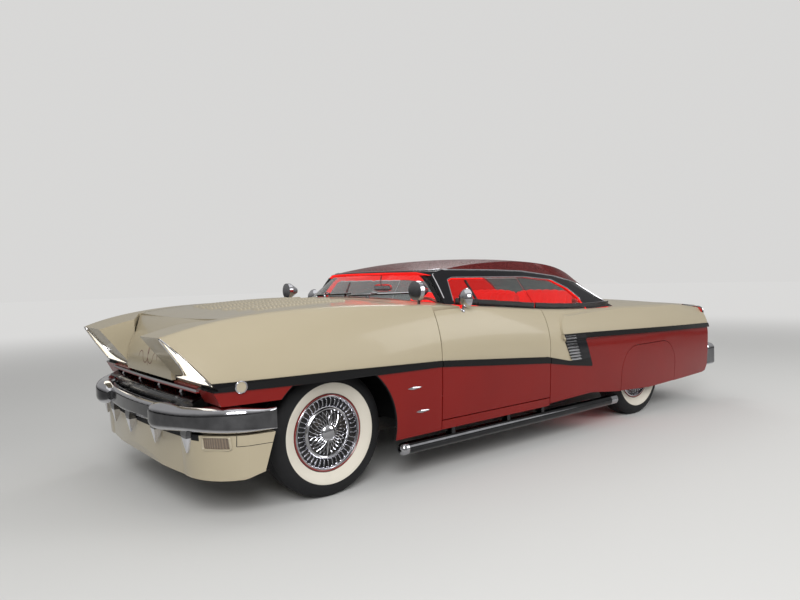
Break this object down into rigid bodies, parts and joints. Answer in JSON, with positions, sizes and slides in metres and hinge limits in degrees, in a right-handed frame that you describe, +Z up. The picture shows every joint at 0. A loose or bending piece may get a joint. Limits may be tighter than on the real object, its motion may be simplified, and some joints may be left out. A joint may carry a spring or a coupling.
{
  "type": "two-door hardtop car of the 1950s",
  "caption": "Full-size two-door hardtop car of the 1950s, chopped and lowered, two-tone with hooded headlamps and skirted rear wheels, with opening doors, hood and trunk.",
  "frame": {"origin": "on the floor under the middle of the car's length and width", "axes": "+X towards the front, +Y towards the driver's left, +Z up"},
  "size_m": [5.2214, 1.9564, 1.3194],
  "materials": {
    "cream_paint": "gloss",
    "red_paint": "gloss",
    "roof_paint": "gloss",
    "window_glass": "clear",
    "chrome": "polished",
    "wheel_chrome": "polished",
    "grille_metal": "satin",
    "lamp_glass": "clear",
    "amber_lens": "clear",
    "red_lens": "clear",
    "chassis_paint": "satin",
    "engine_iron": "cast",
    "radiator_black": "satin",
    "running_gear": "cast",
    "dash_paint": "gloss",
    "wheel_plastic": "gloss",
    "upholstery": "satin",
    "tyre": "matte"
  },
  "bodies": {
    "body": {"fender_left": "cream_paint", "fender_right": "cream_paint", "cowl": "cream_paint", "body_rear": "cream_paint", "front_valance": "cream_paint", "rockers": "red_paint", "fender_skirts": "red_paint", "roof": "roof_paint", "windscreen": "window_glass", "rear_windows": "window_glass", "front_bumper": "chrome", "rear_bumper": "chrome", "spotlamps": "chrome", "side_pipes": "chrome", "grille": "grille_metal", "headlamps": "lamp_glass", "parking_lamps": "amber_lens", "tail_lamps": "red_lens", "floor_pan": "chassis_paint", "chassis_frame": "chassis_paint", "fuel_tank": "chassis_paint", "engine_block": "engine_iron", "radiator": "radiator_black", "front_suspension": "running_gear", "rear_axle": "running_gear", "dashboard": "dash_paint", "steering_column": "dash_paint", "front_seat": "upholstery", "rear_seat": "upholstery"},
    "hood": {"hood": "cream_paint"},
    "trunk_lid": {"trunk_lid": "cream_paint"},
    "door_left": {"door_left": "cream_paint", "door_glass_left": "window_glass"},
    "door_right": {"door_right": "cream_paint", "door_glass_right": "window_glass"},
    "knuckle_left": {"knuckle_left": "running_gear"},
    "knuckle_right": {"knuckle_right": "running_gear"},
    "steering_wheel": {"steering_wheel": "wheel_plastic"},
    "wheel_front_left": {"tyre_front_left": "tyre", "wheel_front_left": "wheel_chrome"},
    "wheel_front_right": {"tyre_front_right": "tyre", "wheel_front_right": "wheel_chrome"},
    "wheel_rear_left": {"tyre_rear_left": "tyre", "wheel_rear_left": "wheel_chrome"},
    "wheel_rear_right": {"tyre_rear_right": "tyre", "wheel_rear_right": "wheel_chrome"}
  },
  "joints": [
    {"name": "door_left_hinge", "type": "hinge", "parent": "body", "child": "door_left", "pos_m": [0.99, 0.95, 0.65], "axis": [0, 0, -1], "range_deg": [0, 65]},
    {"name": "door_right_hinge", "type": "hinge", "parent": "body", "child": "door_right", "pos_m": [0.99, -0.95, 0.65], "axis": [0, 0, 1], "range_deg": [0, 65]},
    {"name": "hood_hinge", "type": "hinge", "parent": "body", "child": "hood", "pos_m": [1.13, 0, 1.045], "axis": [0, -1, 0], "range_deg": [0, 45]},
    {"name": "trunk_hinge", "type": "hinge", "parent": "body", "child": "trunk_lid", "pos_m": [-1.367, 0, 0.958], "axis": [0, 1, 0], "range_deg": [0, 55]},
    {"name": "steer_left", "type": "hinge", "parent": "body", "child": "knuckle_left", "pos_m": [1.7415, 0.64, 0.35], "axis": [0, 0, 1], "range_deg": [-30, 30]},
    {"name": "steer_right", "type": "hinge", "parent": "body", "child": "knuckle_right", "pos_m": [1.7415, -0.64, 0.35], "axis": [0, 0, 1], "range_deg": [-30, 30]},
    {"name": "wheel_front_left_spin", "type": "hinge", "parent": "knuckle_left", "child": "wheel_front_left", "pos_m": [1.7415, 0.7365, 0.35], "axis": [0, 1, 0], "continuous": true},
    {"name": "wheel_rear_left_spin", "type": "hinge", "parent": "body", "child": "wheel_rear_left", "pos_m": [-1.2815, 0.745, 0.35], "axis": [0, 1, 0], "continuous": true},
    {"name": "wheel_front_right_spin", "type": "hinge", "parent": "knuckle_right", "child": "wheel_front_right", "pos_m": [1.7415, -0.7365, 0.35], "axis": [0, 1, 0], "continuous": true},
    {"name": "wheel_rear_right_spin", "type": "hinge", "parent": "body", "child": "wheel_rear_right", "pos_m": [-1.2815, -0.745, 0.35], "axis": [0, 1, 0], "continuous": true},
    {"name": "steering_wheel_turn", "type": "hinge", "parent": "body", "child": "steering_wheel", "pos_m": [0.56, 0.38, 0.85], "axis": [-0.9135, 0, 0.4067], "range_deg": [-480, 480]}
  ],
  "couplings": [
    {"joint": "steer_right", "follows": "steer_left", "ratio": 1},
    {"joint": "steering_wheel_turn", "follows": "steer_left", "ratio": 16}
  ]
}
